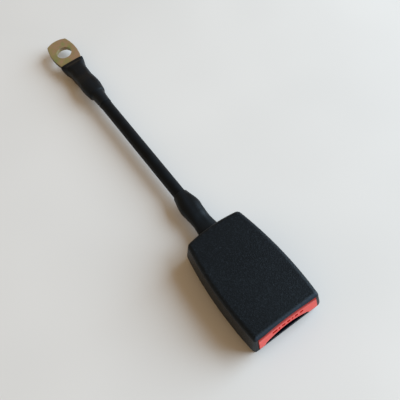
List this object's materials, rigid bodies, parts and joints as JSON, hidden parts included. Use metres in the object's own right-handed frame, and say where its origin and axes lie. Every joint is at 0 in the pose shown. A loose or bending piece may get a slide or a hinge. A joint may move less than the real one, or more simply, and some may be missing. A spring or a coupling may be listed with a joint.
{
  "type": "seat belt buckle",
  "caption": "End-release seat belt buckle on a sheathed wire rope stalk with a flat anchor plate; push button, sprung ejector and swinging latch.",
  "frame": {"origin": "centre of the anchor bolt hole, on the seating face under the anchor plate", "axes": "+Y from the buckle's mouth to the tip of the anchor plate, +Z along the bolt hole's axis, up out of the buckle's broad top face, +X to the right of someone who looks along +Y"},
  "size_m": [0.0494, 0.2759, 0.0223],
  "materials": {
    "cover_plastic": "black moulded plastic with a fine spark-eroded grain",
    "button_plastic": "satin red moulded plastic",
    "ejector_plastic": "black acetal, low sheen",
    "frame_steel": "bright zinc plated pressed steel",
    "latch_steel": "hardened steel, tumbled",
    "pin_steel": "bright drawn steel",
    "spring_steel": "patented spring wire",
    "rivet_steel": "zinc plated steel",
    "screw_steel": "black zinc plated steel",
    "rope_steel": "stranded galvanised wire",
    "ferrule_alloy": "pressed aluminium alloy",
    "sheath_plastic": "black extruded plastic tube, satin",
    "shrink_sleeve": "black heat shrink tube, satin",
    "yellow_zinc": "yellow passivated zinc on pressed steel, faintly iridescent"
  },
  "bodies": {
    "buckle": {"upper_cover": "cover_plastic", "lower_cover": "cover_plastic", "cover_screws": "screw_steel", "frame": "frame_steel", "latch_pin": "pin_steel", "button_springs": "spring_steel", "latch_spring": "spring_steel", "ejector_spring": "spring_steel", "head_bush": "rivet_steel", "head_keeper": "rivet_steel", "head_rivet": "rivet_steel", "wire_rope": "rope_steel", "cable_sheath": "sheath_plastic", "head_ferrule": "ferrule_alloy", "anchor_ferrule": "ferrule_alloy", "head_sleeve": "shrink_sleeve", "anchor_sleeve": "shrink_sleeve", "anchor_bush": "rivet_steel", "anchor_keeper": "rivet_steel", "anchor_rivet": "rivet_steel", "anchor_plate": "yellow_zinc"},
    "button": {"release_button": "button_plastic"},
    "latch": {"latch": "latch_steel"},
    "ejector": {"ejector": "ejector_plastic"}
  },
  "joints": [
    {"name": "button_press", "type": "slide", "parent": "buckle", "child": "button", "axis": [0, 1, 0], "range_m": [0, 0.006], "stiffness_N_per_m": 900, "springref_m": -0.008, "deforming": ["button_springs"]},
    {"name": "latch_swing", "type": "hinge", "parent": "buckle", "child": "latch", "pos_m": [0, -0.2228, 0.0062], "axis": [-1, 0, 0], "range_deg": [0, 11.5], "stiffness_Nm_per_rad": 0.3, "springref_deg": -5.73, "deforming": ["latch_spring"]},
    {"name": "ejector_slide", "type": "slide", "parent": "buckle", "child": "ejector", "axis": [0, 1, 0], "range_m": [0, 0.011], "stiffness_N_per_m": 500, "springref_m": -0.008, "deforming": ["ejector_spring"]}
  ],
  "couplings": [
    {"joint": "latch_swing", "follows": "button_press", "rad_per_m": 33.45}
  ]
}
